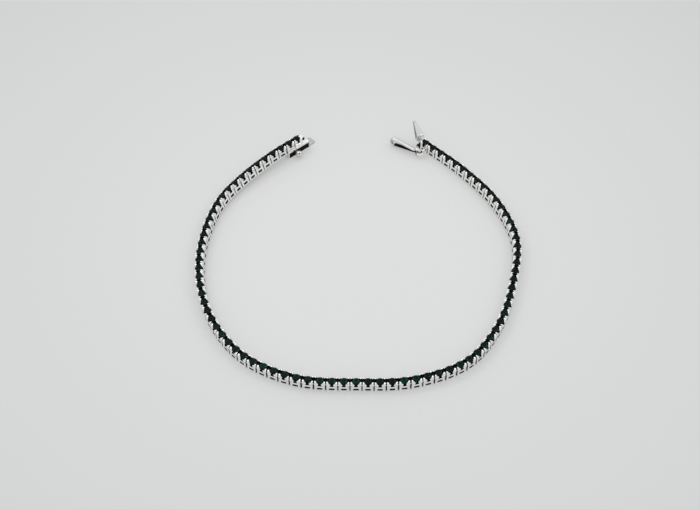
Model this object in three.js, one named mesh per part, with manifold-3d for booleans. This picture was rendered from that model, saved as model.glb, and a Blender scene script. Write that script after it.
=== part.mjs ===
import * as THREE from 'three';
import { mergeVertices } from 'three/addons/utils/BufferGeometryUtils.js';
import Module from 'manifold-3d';

// Tennis bracelet lying open on a table, stones up. Millimetres, +Z up.
// The origin is on the table under the middle of the whole bracelet.
// Links are numbered from the clasp box, at the far left, round the front to the tongue, at the far right.

const wasm = await Module();
wasm.setup();

// Chain
const linkCount = 81;
const pitch = 2.1;
const linkGap = 0.2;
const linksOnBox = 2;
const linksOnTongue = 1;

// Stone
const stoneDiameter = 1.4;
const stoneSides = 8;
const tableDiameter = 0.86;
const crownHeight = 0.2;
const pavilionDepth = 0.6;

// Setting: lower rail, slit, upper rail, window and claws, from the table up
const lowerRail = 0.26;
const slitHeight = 0.4;
const slitLength = 0.96;
const upperRail = 0.46;
const windowFloor = 0.8;
const windowNeck = 0.44;
const windowRise = 0.81;
const tipRise = 0.28;
const clawSlope = 0.45;
const clawGrip = 0.1;
const clawThickness = 0.425;

// Hinge lug between two links
const lugWidth = 0.7;
const lugHeight = 0.6;
const lugBase = 0.5;
const lugBite = 0.12;

// Clasp box, under the first two settings
const boxWidth = 2.3;
const boxHeight = 1.95;
const boxWall = 0.25;
const boxPlainTop = 1.4;
const boxTopPlate = 0.5;
const settingSink = 0.65;
const mouthLip = 1.9;
const cavityEndWall = 0.6;
const sidePanelDepth = 0.1;
const sidePanelRim = 0.2;
const topNotchLength = 1;
const topNotchWidth = 0.6;
const ballDiameter = 1.3;
const ballSides = 10;
const ballReach = 0.87;
const ballPostDiameter = 0.5;

// Tongue piece, beyond the last setting
const endBlockLength = 0.8;
const endBlockHeight = 2.1;
const endBlockPlate = 0.45;
const endBlockRecess = 0.7;
const tongueLength = 3.8;
const tongueRootWidth = 1.9;
const tongueTipWidth = 0.45;
const leafThickness = 0.24;
const leafOpening = 12;
const upperLeafLength = 3.2;
const tongueRise = 44;
const tongueTurn = -17;
const thumbTabWidth = 0.7;
const thumbTabHeight = 0.4;

// Safety catch: a wire eight that swings on an upright barrel beside the last setting
const barrelReach = 2.5;
const barrelAlong = -0.7;
const barrelDiameter = 1.4;
const barrelBore = 1;
const barrelHeight = 0.6;
const barrelSides = 12;
const lugBarSize = 0.4;
const wireThickness = 0.5;
const wireDepth = 0.7;
const eyeHeight = 2.1;
const eyeRoundFrom = 108;
const eyeSegments = 5;
const rearHeight = 1.8;
const waistPlace = 1.35;
const waistTaper = 0.5;
const safetyTurn = 13;
const safetyLift = 0.1;

// Worked out from the sizes above
const linkLength = pitch - linkGap;
const stoneRadius = stoneDiameter / 2;
const gripCorner = (stoneRadius - clawGrip) / Math.SQRT2;
const linkWidth = 2 * (gripCorner + clawThickness);
const windowBase = lowerRail + slitHeight + upperRail;
const girdleHeight = windowBase + windowRise;
const clawTop = girdleHeight + tipRise;
const hingeHeight = clawTop / 2;
const boxFloor = settingSink - boxHeight;
const boxMouth = -linkLength / 2 - boxPlainTop;
const ballAlong = pitch / 2;
const endBlockEnd = linkLength / 2 + linkGap + endBlockLength;
const eyeReach = endBlockEnd - barrelAlong + ballAlong - boxMouth;
const safetyHeight = safetyLift + eyeHeight / 2;

// Route of the chain seen from above, through every fifth link
const chainRoute = [
  { x: -10.8, y: 30.2 },
  { x: -18.3, y: 23.3 },
  { x: -24.7, y: 15.1 },
  { x: -27.6, y: 5.2 },
  { x: -27.7, y: -5.2 },
  { x: -24.8, y: -15.1 },
  { x: -18.6, y: -23.4 },
  { x: -9.4, y: -28.1 },
  { x: 0.9, y: -29.0 },
  { x: 11.3, y: -28.4 },
  { x: 20.7, y: -24.3 },
  { x: 26.8, y: -16.0 },
  { x: 30.0, y: -6.2 },
  { x: 31.4, y: 4.1 },
  { x: 28.4, y: 14.0 },
  { x: 22.6, y: 22.6 },
  { x: 15.4, y: 30.3 },
];

// How the chain lies: roll is the outward lean in degrees, lift a share of the height of the box's settings
const posture = [
  { share: 0, roll: 0, lift: 1 },
  { share: 0.02, roll: 0, lift: 1 },
  { share: 0.06, roll: 14, lift: 0.55 },
  { share: 0.11, roll: 17, lift: 0.12 },
  { share: 0.15, roll: 11, lift: 0 },
  { share: 0.25, roll: 9, lift: 0 },
  { share: 0.34, roll: 0, lift: 0 },
  { share: 0.7, roll: 0, lift: 0 },
  { share: 0.82, roll: 7, lift: 0 },
  { share: 0.88, roll: 9, lift: 0 },
  { share: 0.94, roll: 4, lift: 0 },
  { share: 1, roll: 0, lift: 0 },
];

const silver = () => new THREE.MeshStandardMaterial({ color: 0xd9dadb, metalness: 1, roughness: 0.22 });

// Solids from three.js geometries, and back again

function solid(geometry) {
  const bare = geometry.index ? geometry.toNonIndexed() : geometry.clone();
  bare.deleteAttribute('normal');
  bare.deleteAttribute('uv');
  const merged = mergeVertices(bare, 1e-5);
  const corners = merged.index.array;
  const faces = [];
  for (let i = 0; i < corners.length; i += 3) {
    const [a, b, c] = [corners[i], corners[i + 1], corners[i + 2]];
    if (a !== b && b !== c && c !== a) faces.push(a, b, c);
  }
  return new wasm.Manifold(
    new wasm.Mesh({
      numProp: 3,
      vertProperties: new Float32Array(merged.attributes.position.array),
      triVerts: new Uint32Array(faces),
    }),
  );
}

function geometryOf(body) {
  const mesh = body.getMesh();
  const geometry = new THREE.BufferGeometry();
  geometry.setAttribute('position', new THREE.BufferAttribute(new Float32Array(mesh.vertProperties), 3));
  geometry.setIndex(new THREE.BufferAttribute(new Uint32Array(mesh.triVerts), 1));
  return geometry;
}

function fuse(bodies) {
  return bodies.reduce((sum, body) => sum.add(body));
}

function placed(body, matrix) {
  return solid(geometryOf(body).applyMatrix4(matrix));
}

function block(low, high) {
  const size = high.map((value, axis) => value - low[axis]);
  const geometry = new THREE.BoxGeometry(...size);
  geometry.translate(...low.map((value, axis) => value + size[axis] / 2));
  return solid(geometry);
}

// A side profile, drawn along the chain and up, made as wide as the width says and centred across the chain
function sideProfile(points, width) {
  const shape = new THREE.Shape(points.map(([x, z]) => new THREE.Vector2(x, z)));
  const geometry = new THREE.ExtrudeGeometry(shape, { depth: width, bevelEnabled: false });
  geometry.translate(0, 0, -width / 2);
  geometry.rotateX(Math.PI / 2);
  return solid(geometry);
}

function upright(radius, height, sides, base = 0) {
  const geometry = new THREE.CylinderGeometry(radius, radius, height, sides);
  geometry.rotateX(Math.PI / 2);
  geometry.translate(0, 0, base + height / 2);
  return solid(geometry);
}

// One link: a four-claw setting with its stone

function makeStone() {
  const profile = [
    new THREE.Vector2(0, girdleHeight - pavilionDepth),
    new THREE.Vector2(stoneRadius, girdleHeight),
    new THREE.Vector2(tableDiameter / 2, girdleHeight + crownHeight),
    new THREE.Vector2(0, girdleHeight + crownHeight),
  ];
  const geometry = new THREE.LatheGeometry(profile, stoneSides);
  geometry.rotateY(Math.PI / stoneSides);
  geometry.rotateX(Math.PI / 2);
  return solid(geometry);
}

function makeSetting(withSlit) {
  const end = linkLength / 2;
  const outline = [
    [-end, 0],
    [end, 0],
    [end, clawTop],
    [windowNeck / 2, clawTop - clawSlope],
    [windowFloor / 2, windowBase],
    [-windowFloor / 2, windowBase],
    [-windowNeck / 2, clawTop - clawSlope],
    [-end, clawTop],
  ];
  const past = linkLength;
  const channel = block([-past, -gripCorner, windowBase], [past, gripCorner, clawTop + past]);
  const claws = sideProfile(outline, linkWidth).subtract(channel);
  if (!withSlit) return claws;
  const slit = block([-slitLength / 2, -past, lowerRail], [slitLength / 2, past, lowerRail + slitHeight]);
  return claws.subtract(slit);
}

const stone = makeStone();
const setLink = makeSetting(true).add(stone);
const cutSetting = makeSetting(false).add(stone);
const hingeLug = block(
  [linkLength / 2 - lugBite, -lugWidth / 2, lugBase],
  [linkLength / 2 + linkGap + lugBite, lugWidth / 2, lugBase + lugHeight],
);

// Where each link lies

function postureAt(share) {
  const next = posture.findIndex((row) => row.share >= share);
  if (next <= 0) return posture[0];
  const [low, high] = [posture[next - 1], posture[next]];
  const blend = THREE.MathUtils.smoothstep(share, low.share, high.share);
  return {
    roll: THREE.MathUtils.lerp(low.roll, high.roll, blend),
    lift: THREE.MathUtils.lerp(low.lift, high.lift, blend),
  };
}

// Each link's frame has its origin under the middle of the link, +X along the chain and +Y into the loop
function linkFrames() {
  const curve = new THREE.CatmullRomCurve3(chainRoute.map((point) => new THREE.Vector3(point.x, point.y, 0)));
  curve.arcLengthDivisions = 2000;
  const stretch = ((linkCount - 1) * pitch) / curve.getLength();
  const settled = boxHeight - settingSink;
  const rows = Array.from({ length: linkCount }, (_, i) => {
    const share = i / (linkCount - 1);
    const { roll, lift } = postureAt(share);
    const lean = THREE.MathUtils.degToRad(roll);
    const height = hingeHeight * Math.cos(lean) + (linkWidth / 2) * Math.sin(lean) + lift * settled;
    const centre = curve.getPointAt(share).multiplyScalar(stretch).setZ(height);
    return { centre, lean };
  });
  return rows.map(({ centre, lean }, i) => {
    const before = rows[Math.max(i - 1, 0)].centre;
    const after = rows[Math.min(i + 1, linkCount - 1)].centre;
    const along = new THREE.Vector3().subVectors(after, before).normalize();
    const across = new THREE.Vector3(0, 0, 1).cross(along).normalize();
    const up = new THREE.Vector3().crossVectors(along, across);
    const frame = new THREE.Matrix4().makeBasis(along, across, up).setPosition(centre);
    frame.multiply(new THREE.Matrix4().makeRotationX(lean));
    return frame.multiply(new THREE.Matrix4().makeTranslation(0, 0, -hingeHeight));
  });
}

const frames = linkFrames();

// Half of the chain: links joined by their lugs into one body
function makeChain(first, last) {
  const bodies = [];
  for (let i = first; i <= last; i += 1) {
    bodies.push(placed(i < last ? setLink.add(hingeLug) : setLink, frames[i]));
  }
  return fuse(bodies);
}

// The clasp box, in the frame of the first link; its settings sink into its top, and its mouth faces -X
function makeClaspBox() {
  const rear = (linksOnBox - 1) * pitch + linkLength / 2;
  const side = boxWidth / 2;
  const inside = side - boxWall;
  const housing = block([boxMouth, -side, boxFloor], [rear, side, settingSink]);
  const lip = block(
    [boxMouth - mouthLip, -inside, boxFloor],
    [boxMouth + boxWall, inside, boxFloor + boxWall],
  );
  const cavity = block(
    [boxMouth - boxWall, -inside, boxFloor + boxWall],
    [rear - cavityEndWall, inside, settingSink - boxTopPlate],
  );
  const notch = block(
    [boxMouth - boxWall, -topNotchWidth / 2, boxFloor + boxWall],
    [boxMouth + topNotchLength, topNotchWidth / 2, settingSink + boxWall],
  );
  const panel = (face) => block(
    [boxMouth + sidePanelRim, face - sidePanelDepth, boxFloor + sidePanelRim],
    [rear - sidePanelRim, face + sidePanelDepth, settingSink - boxTopPlate],
  );
  const settings = [];
  for (let i = 0; i < linksOnBox; i += 1) {
    settings.push(placed(cutSetting, new THREE.Matrix4().makeTranslation(i * pitch, 0, 0)));
  }
  const body = housing.subtract(fuse([cavity, notch, panel(side), panel(-side)])).add(lip);
  return fuse([body, ...settings, makeBall()]);
}

// The ball that the safety catch snaps over, on its post on the box's inner side
function makeBall() {
  const middleHeight = (boxFloor + settingSink) / 2;
  const ballAcross = boxWidth / 2 + ballReach;
  const ball = new THREE.SphereGeometry(ballDiameter / 2, ballSides, ballSides / 2);
  ball.translate(ballAlong, ballAcross, middleHeight);
  const postLength = ballReach + boxWall / 2;
  const post = new THREE.CylinderGeometry(ballPostDiameter / 2, ballPostDiameter / 2, postLength, stoneSides);
  post.translate(ballAlong, ballAcross - postLength / 2, middleHeight);
  return solid(ball).add(solid(post));
}

// A leaf of the tongue: a tapered plate that runs along +X from its root
function makeLeaf(length, rootWidth, tipWidth) {
  const outline = new THREE.Shape([
    new THREE.Vector2(0, -rootWidth / 2),
    new THREE.Vector2(length, -tipWidth / 2),
    new THREE.Vector2(length, tipWidth / 2),
    new THREE.Vector2(0, rootWidth / 2),
  ]);
  const geometry = new THREE.ExtrudeGeometry(outline, { depth: leafThickness, bevelEnabled: false });
  geometry.translate(0, 0, -leafThickness / 2);
  return solid(geometry);
}

// The spring tongue: two leaves folded at the tip, the upper one ending in a thumb tab
function makeTongue() {
  const fold = tongueLength - leafThickness;
  const lower = makeLeaf(tongueLength, tongueRootWidth, tongueTipWidth);
  const upper = makeLeaf(upperLeafLength, tongueTipWidth, tongueRootWidth);
  const tab = block(
    [upperLeafLength - leafThickness, -thumbTabWidth / 2, -leafThickness / 2],
    [upperLeafLength, thumbTabWidth / 2, thumbTabHeight],
  );
  const folded = new THREE.Matrix4()
    .makeTranslation(fold, 0, leafThickness / 2)
    .multiply(new THREE.Matrix4().makeRotationY(THREE.MathUtils.degToRad(leafOpening)))
    .multiply(new THREE.Matrix4().makeRotationZ(Math.PI));
  return lower.add(placed(upper.add(tab), folded));
}

// The block past the last setting, recessed between a floor plate and a top plate, which carries the tongue
function makeEndBlock() {
  const side = linkWidth / 2;
  const whole = block([linkLength / 2 - lugBite, -side, 0], [endBlockEnd, side, endBlockHeight]);
  const recess = block(
    [endBlockEnd - endBlockRecess, -linkWidth, endBlockPlate],
    [endBlockEnd + linkWidth, linkWidth, endBlockHeight - endBlockPlate],
  );
  const bentUp = new THREE.Matrix4()
    .makeTranslation(endBlockEnd - lugBite, 0, endBlockHeight - leafThickness)
    .multiply(new THREE.Matrix4().makeRotationZ(THREE.MathUtils.degToRad(tongueTurn)))
    .multiply(new THREE.Matrix4().makeRotationY(THREE.MathUtils.degToRad(-tongueRise)));
  return whole.subtract(recess).add(placed(makeTongue(), bentUp));
}

// The barrel of the safety catch, on a short bar from the last setting
function makeBarrel() {
  const base = safetyHeight - barrelHeight / 2;
  const bar = block(
    [barrelAlong - lugBarSize / 2, linkWidth / 2 - lugBite, windowBase - lugBarSize / 2],
    [barrelAlong + lugBarSize / 2, barrelReach - (barrelBore + lugBite) / 2, windowBase + lugBarSize / 2],
  );
  const bore = upright(barrelBore / 2, barrelHeight + 2 * lugBite, barrelSides, base - lugBite);
  const tube = upright(barrelDiameter / 2, barrelHeight, barrelSides, base).subtract(bore);
  return placed(tube, new THREE.Matrix4().makeTranslation(barrelAlong, barrelReach, 0)).add(bar);
}

function makeClaspTongue() {
  return fuse([setLink, makeEndBlock(), makeBarrel()]);
}

// The wire eight on edge, its outline drawn from the barrel's axis: a short rear loop, a waist and a long eye
function makeSafety() {
  const wire = wireThickness;
  const eyeRadius = eyeHeight / 2;
  const rearHalf = rearHeight / 2;
  const bend = waistPlace - waistTaper;
  const roundFrom = THREE.MathUtils.degToRad(eyeRoundFrom);
  const outline = new THREE.Shape();
  outline.moveTo(-wire / 2, -rearHalf);
  outline.lineTo(bend, -rearHalf);
  outline.lineTo(waistPlace, -wire);
  outline.absarc(eyeReach, 0, eyeRadius, -roundFrom, roundFrom, false);
  outline.lineTo(waistPlace, wire);
  outline.lineTo(bend, rearHalf);
  outline.lineTo(-wire / 2, rearHalf);
  outline.closePath();
  const holeRadius = eyeRadius - wire;
  const eye = new THREE.Path();
  eye.moveTo(waistPlace + wire / 2, 0);
  eye.lineTo(eyeReach + holeRadius * Math.cos(roundFrom), holeRadius * Math.sin(roundFrom));
  eye.absarc(eyeReach, 0, holeRadius, roundFrom, -roundFrom, true);
  eye.closePath();
  const rear = new THREE.Path();
  rear.moveTo(wire / 2, wire - rearHalf);
  rear.lineTo(wire / 2, rearHalf - wire);
  rear.lineTo(bend, rearHalf - wire);
  rear.lineTo(waistPlace - wire / 2, 0);
  rear.lineTo(bend, wire - rearHalf);
  rear.closePath();
  outline.holes.push(eye, rear);
  const geometry = new THREE.ExtrudeGeometry(outline, {
    depth: wireDepth,
    bevelEnabled: false,
    curveSegments: eyeSegments,
  });
  geometry.translate(0, 0, -wireDepth / 2);
  geometry.rotateX(Math.PI / 2);
  geometry.rotateZ(THREE.MathUtils.degToRad(safetyTurn));
  geometry.translate(barrelAlong, barrelReach, safetyHeight);
  return solid(geometry);
}

// The whole bracelet

function piece(name, body, frame) {
  const mesh = new THREE.Mesh(geometryOf(body), silver());
  mesh.name = name;
  if (frame) mesh.applyMatrix4(frame);
  return mesh;
}

const middleLink = Math.floor(linkCount / 2);
const lastLink = linkCount - 1;
const laid = new THREE.Group();
laid.add(piece('chain_left', makeChain(linksOnBox, middleLink)));
laid.add(piece('chain_right', makeChain(middleLink + 1, lastLink - linksOnTongue)));
laid.add(piece('clasp_box', makeClaspBox(), frames[0]));
laid.add(piece('clasp_tongue', makeClaspTongue(), frames[lastLink]));
laid.add(piece('safety_catch', makeSafety(), frames[lastLink]));

const bracelet = new THREE.Group();
bracelet.add(laid);
bracelet.updateMatrixWorld(true);
const bounds = new THREE.Box3().setFromObject(bracelet, true);
const middle = bounds.getCenter(new THREE.Vector3());
laid.position.set(-middle.x, -middle.y, 0);

export default bracelet;
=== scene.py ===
# %% [markdown]
# A tennis bracelet lies open on a pale table: one row of small square settings, each with a round dark
# green stone, a box clasp at the left end, and a folded tongue and a wire safety catch at the right end.
# The solids of the bracelet come from its CAD model. They fix every place and size, and this lesson gives
# each of them the rounded edges, claws, facets and finishes that the real one shows.

# %% Load the solids
import math
import random

import bmesh
import bpy
from mathutils import Matrix, Vector


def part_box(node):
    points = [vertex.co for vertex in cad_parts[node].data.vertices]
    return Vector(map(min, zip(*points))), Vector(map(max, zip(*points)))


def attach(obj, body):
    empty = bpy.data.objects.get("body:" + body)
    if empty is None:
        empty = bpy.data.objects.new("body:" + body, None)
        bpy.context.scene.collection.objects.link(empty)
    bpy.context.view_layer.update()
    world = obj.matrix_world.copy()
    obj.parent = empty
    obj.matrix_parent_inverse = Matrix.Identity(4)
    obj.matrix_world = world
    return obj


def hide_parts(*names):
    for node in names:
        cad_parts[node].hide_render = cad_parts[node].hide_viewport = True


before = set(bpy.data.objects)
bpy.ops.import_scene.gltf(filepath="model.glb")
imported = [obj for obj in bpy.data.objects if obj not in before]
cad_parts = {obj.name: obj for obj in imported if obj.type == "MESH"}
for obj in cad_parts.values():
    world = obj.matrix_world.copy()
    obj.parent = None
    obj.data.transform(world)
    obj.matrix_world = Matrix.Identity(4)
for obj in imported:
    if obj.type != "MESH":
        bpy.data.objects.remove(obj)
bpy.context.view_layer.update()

# %% [markdown]
# Blender works in metres, and a bracelet is thought of in millimetres. Shapes are drawn in millimetres,
# in the frame of one link: X along the chain, Y towards the inside of the loop, Z up. A single matrix
# then puts each shape into the frame of the solids.

# %% Sizes of a link, in millimetres
MILLIMETRE = 0.001
LINK_COUNT = 81
LINKS_ON_BOX = 2
PITCH = 2.1
LINK_LENGTH = 1.9
LINK_WIDTH = 1.7
HALF_LENGTH = LINK_LENGTH / 2
HALF_WIDTH = LINK_WIDTH / 2
WALL = 0.4
RAIL_TOP = 1.12
CLAW_TOP = 2.21
HINGE_HEIGHT = CLAW_TOP / 2
STONE_RADIUS = 0.7
GIRDLE_HEIGHT = 1.93
BOX_LIFT = 1.3
print("length of the settings in line:", round(LINK_COUNT * PITCH, 1), "mm")

# %% [markdown]
# The chain follows a few points chosen on the table. A smooth curve runs through them, and the links sit
# on it at equal steps, as beads on a string do. A centripetal Catmull-Rom curve is used, because it
# passes through every point without overshooting between them.

# %% Route of the chain, every fifth link, from the clasp box round the front to the tongue
CHAIN_ROUTE = [
    (-10.8, 30.2), (-18.3, 23.3), (-24.7, 15.1), (-27.6, 5.2), (-27.7, -5.2), (-24.8, -15.1),
    (-18.6, -23.4), (-9.4, -28.1), (0.9, -29.0), (11.3, -28.4), (20.7, -24.3), (26.8, -16.0),
    (30.0, -6.2), (31.4, 4.1), (28.4, 14.0), (22.6, 22.6), (15.4, 30.3),
]


def curve_span(before, start, end, after, steps):
    """Points from start towards end on a centripetal Catmull-Rom curve."""
    gaps = [(b - a).length ** 0.5 for a, b in ((before, start), (start, end), (end, after))]
    leave = (start - before) / gaps[0] - (end - before) / (gaps[0] + gaps[1]) + (end - start) / gaps[1]
    arrive = (end - start) / gaps[1] - (after - start) / (gaps[1] + gaps[2]) + (after - end) / gaps[2]
    leave, arrive = leave * gaps[1], arrive * gaps[1]
    square = (end - start) * 3 - leave * 2 - arrive
    cube = (start - end) * 2 + leave + arrive
    return [start + leave * t + square * t * t + cube * t**3 for t in (i / steps for i in range(steps))]


def smooth_route(points, steps=200):
    ends = [points[0] * 2 - points[1], *points, points[-1] * 2 - points[-2]]
    dense = []
    for four in zip(ends, ends[1:], ends[2:], ends[3:]):
        dense += curve_span(*four, steps)
    return dense + [points[-1]]


def equal_steps(dense, count):
    """count points at equal distances along the dense route, and the route's length."""
    run = [0.0]
    for a, b in zip(dense, dense[1:]):
        run.append(run[-1] + (b - a).length)
    places, k = [], 0
    for i in range(count):
        target = run[-1] * i / (count - 1)
        while k < len(run) - 2 and run[k + 1] < target:
            k += 1
        places.append(dense[k].lerp(dense[k + 1], (target - run[k]) / (run[k + 1] - run[k])))
    return places, run[-1]


route, route_length = equal_steps(smooth_route([Vector(point) for point in CHAIN_ROUTE]), LINK_COUNT)
stretch = (LINK_COUNT - 1) * PITCH / route_length
print("route drawn", round(route_length, 2), "mm long, stretched by", round(stretch, 4))

# %% [markdown]
# The links don't all lie flat. The left back leans outward a little, and the last few links climb on to
# the box. A short table holds that as a lean in degrees and a share of the climb, with smooth steps
# between its rows.

# %% How the chain lies
POSTURE = [
    {"share": 0, "lean": 0, "climb": 1},
    {"share": 0.02, "lean": 0, "climb": 1},
    {"share": 0.06, "lean": 14, "climb": 0.55},
    {"share": 0.11, "lean": 17, "climb": 0.12},
    {"share": 0.15, "lean": 11, "climb": 0},
    {"share": 0.25, "lean": 9, "climb": 0},
    {"share": 0.34, "lean": 0, "climb": 0},
    {"share": 0.7, "lean": 0, "climb": 0},
    {"share": 0.82, "lean": 7, "climb": 0},
    {"share": 0.88, "lean": 9, "climb": 0},
    {"share": 0.94, "lean": 4, "climb": 0},
    {"share": 1, "lean": 0, "climb": 0},
]


def posture_at(share):
    for low, high in zip(POSTURE, POSTURE[1:]):
        if share <= high["share"]:
            t = (share - low["share"]) / (high["share"] - low["share"])
            t = t * t * (3 - 2 * t)
            return (math.radians(low["lean"] + (high["lean"] - low["lean"]) * t),
                    low["climb"] + (high["climb"] - low["climb"]) * t)
    return math.radians(POSTURE[-1]["lean"]), POSTURE[-1]["climb"]


def link_frames():
    """Each link's frame in millimetres, with its origin under the middle of the link."""
    centres, leans = [], []
    for i, place in enumerate(route):
        lean, climb = posture_at(i / (LINK_COUNT - 1))
        height = HINGE_HEIGHT * math.cos(lean) + HALF_WIDTH * math.sin(lean) + climb * BOX_LIFT
        centres.append(Vector((place.x * stretch, place.y * stretch, height)))
        leans.append(lean)
    frames = []
    for i, centre in enumerate(centres):
        along = (centres[min(i + 1, LINK_COUNT - 1)] - centres[max(i - 1, 0)]).normalized()
        across = Vector((0, 0, 1)).cross(along).normalized()
        up = along.cross(across)
        turn = Matrix((along, across, up)).transposed().to_4x4()
        lean = Matrix.Rotation(leans[i], 4, "X")
        frames.append(Matrix.Translation(centre) @ turn @ lean @ Matrix.Translation((0, 0, -HINGE_HEIGHT)))
    return frames


# %% [markdown]
# The solids stand centred on the table. The lowest corners of the left half of the chain tell how far the
# drawn route has to move to lie exactly where the solids lie.

# %% Move the route to the solids
drawn = link_frames()
LEFT_LINKS = range(LINKS_ON_BOX, LINK_COUNT // 2 + 1)
RIGHT_LINKS = range(LINK_COUNT // 2 + 1, LINK_COUNT - 1)
CORNERS = [Vector((x, y, z)) for x in (-HALF_LENGTH, HALF_LENGTH) for y in (-HALF_WIDTH, HALF_WIDTH)
           for z in (0, CLAW_TOP)]
lowest = [min((drawn[i] @ corner)[axis] for i in LEFT_LINKS for corner in CORNERS) for axis in (0, 1)]
solid_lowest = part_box("chain_left")[0]
shift = Vector((solid_lowest[0] / MILLIMETRE - lowest[0], solid_lowest[1] / MILLIMETRE - lowest[1], 0))
to_table = Matrix.Scale(MILLIMETRE, 4) @ Matrix.Translation(shift)
links = [to_table @ place for place in drawn]
print("route moved by", [round(value, 3) for value in shift], "mm")

# %% [markdown]
# Finishes are node trees. Writing them node by node is long, so a small class wraps a socket and lets
# Python's own signs add the Math nodes: 1 - mask or grain * 0.2 reads like a formula. One method makes
# every other node.

# %% Shader formulas
def feed(place, value):
    """Links a wrapped socket into an input, or sets the input's own value."""
    if isinstance(value, Amount):
        place.id_data.links.new(value.socket, place)
    else:
        place.default_value = value


class Amount:
    """A shader socket that can stand in a formula."""

    def __init__(self, socket):
        self.socket = socket

    def sum_of(self, operation, first, second):
        node = self.socket.id_data.nodes.new("ShaderNodeMath")
        node.operation = operation
        feed(node.inputs[0], first)
        feed(node.inputs[1], second)
        return Amount(node.outputs[0])

    def __add__(self, other):
        return self.sum_of("ADD", self, other)

    __radd__ = __add__

    def __mul__(self, other):
        return self.sum_of("MULTIPLY", self, other)

    __rmul__ = __mul__

    def __sub__(self, other):
        return self.sum_of("SUBTRACT", self, other)

    def __rsub__(self, other):
        return self.sum_of("SUBTRACT", other, self)


class Finish:
    """A material with one Principled shader, whose inputs take numbers or formulas."""

    def __init__(self, name):
        self.material = bpy.data.materials.new(name)
        self.material.use_nodes = True
        self.nodes = self.material.node_tree.nodes
        self.shader = self.nodes["Principled BSDF"]

    def node(self, kind, settings=None, values=None, output=0):
        made = self.nodes.new(kind)
        for name, value in (settings or {}).items():
            setattr(made, name, value)
        for name, value in (values or {}).items():
            feed(made.inputs[name], value)
        return Amount(made.outputs[output])

    def mix(self, share, first, second):
        settings = {"data_type": "RGBA", "clamp_factor": True}
        return self.node("ShaderNodeMix", settings, {0: share, 6: first, 7: second}, 2)

    def kept(self, name):
        """A number that the mesh itself carries."""
        return self.node("ShaderNodeAttribute", {"attribute_name": name}, output=2)

    def grain(self, size, detail=2.0):
        """Soft noise of a real size in millimetres, fixed to the object."""
        place = self.node("ShaderNodeTexCoord", output=3)
        return self.node("ShaderNodeTexNoise", None,
                         {"Vector": place, "Scale": 1 / (size * MILLIMETRE), "Detail": detail})

    def clamp(self, value):
        return self.node("ShaderNodeClamp", None, {0: value})

    def bump(self, height, strength, depth):
        return self.node("ShaderNodeBump", None, {"Height": height, "Strength": strength, "Distance": depth})

    def finish(self, **values):
        for name, value in values.items():
            feed(self.shader.inputs[name.replace("_", " ")], value)
        return self.material


# %% [markdown]
# The metal is silver, polished bright. Shade is painted into it as black where light doesn't reach: inside
# the windows and slits, between the links, under the beads, along the foot and in the hollows of the clasp,
# and a lighter painted shade greys some tops and sides. Each mesh carries that painted shade as a number
# from 0 to 1. Fine noise breaks the edge of the painted shade, varies the gloss a little, and raises the
# faint waviness of hand polishing. Where the painted shade lies, Metallic falls and the gloss is kept low.

# %% Polished silver, with painted shade
POLISHED = (0.95, 0.95, 0.938, 1)
SHADE_BLACK = (0.004, 0.004, 0.005, 1)


def make_silver():
    finish = Finish("polished_silver")
    painted_shade = finish.kept("painted_shade")
    handling = finish.grain(1.6, 3.0)
    polish_marks = finish.grain(0.12)
    # Painted shade: the mesh's share of painted black, its edge broken by noise
    shade_share = finish.clamp(painted_shade * (handling * 0.5 + 0.85))
    tarnish = finish.clamp((handling - 0.45) * 0.3)
    worn = finish.mix(tarnish, POLISHED, (0.78, 0.77, 0.73, 1))
    return finish.finish(
        Base_Color=finish.mix(shade_share, worn, SHADE_BLACK),
        Metallic=1 - shade_share,
        Specular_IOR_Level=0.15,
        Roughness=handling * 0.1 + polish_marks * 0.06 + 0.09 + painted_shade * 0.6,
        Normal=finish.bump(polish_marks, 0.12, 0.00001),
    )


silver = make_silver()
print("finish:", silver.name)

# %% [markdown]
# The stones are so dark that most look black, with a green or bluish green glow inside a few facets.
# Light that goes in mostly stays in, so the body is opaque here and each stone has its own tint. The
# light that a few facets send back is painted in, as a random brightness of green on each facet. The gloss
# is sharp but kept weak, so that the flat tables don't mirror the pale room.

# %% Dark green stone
def make_stone_finish():
    finish = Finish("dark_green_stone")
    tint = finish.kept("tint")
    facet = finish.kept("facet")
    clouds = finish.grain(0.5)
    glow = finish.mix(tint, (0.006, 0.02, 0.017, 1), (0.01, 0.12, 0.09, 1))
    # Painted light: a random brightness on each facet, for light sent back from inside the stone
    depth = finish.clamp(facet * 1.2 + (clouds - 0.5) * 0.5 - 0.15)
    return finish.finish(
        Base_Color=finish.mix(depth, (0.001, 0.003, 0.003, 1), glow),
        Metallic=0.0,
        Roughness=clouds * 0.04 + 0.03,
        IOR=1.7,
        Specular_IOR_Level=0.05,
    )


stone_finish = make_stone_finish()
print("finish:", stone_finish.name)

# %% [markdown]
# Most metal parts are cut from plate, so one helper draws a flat outline with its holes as a filled
# curve, and lets the curve's own bevel round the edges. That keeps holes clean, which a mesh polygon
# can't hold. The result is merged into one closed shell.

# %% Flat plates with holes
def arc(centre, radius, start, end, steps):
    """Points on an arc, with angles in degrees."""
    angles = [math.radians(start + (end - start) * i / steps) for i in range(steps + 1)]
    return [(centre[0] + radius * math.cos(a), centre[1] + radius * math.sin(a)) for a in angles]


def rounded_box(low, high, radius, steps=2):
    """A rectangle's outline with round corners, from its lowest and highest corner."""
    left, bottom, right, top = low[0] + radius, low[1] + radius, high[0] - radius, high[1] - radius
    return (arc((left, bottom), radius, 180, 270, steps) + arc((right, bottom), radius, 270, 360, steps)
            + arc((right, top), radius, 0, 90, steps) + arc((left, top), radius, 90, 180, steps))


def placed(name, data):
    """An object in the scene that holds the data."""
    thing = bpy.data.objects.new(name, data)
    bpy.context.scene.collection.objects.link(thing)
    return thing


def evaluated_mesh(thing):
    """The mesh that an object shows with its modifiers, as a mesh of its own."""
    depsgraph = bpy.context.evaluated_depsgraph_get()
    depsgraph.update()
    return bpy.data.meshes.new_from_object(thing.evaluated_get(depsgraph))


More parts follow.
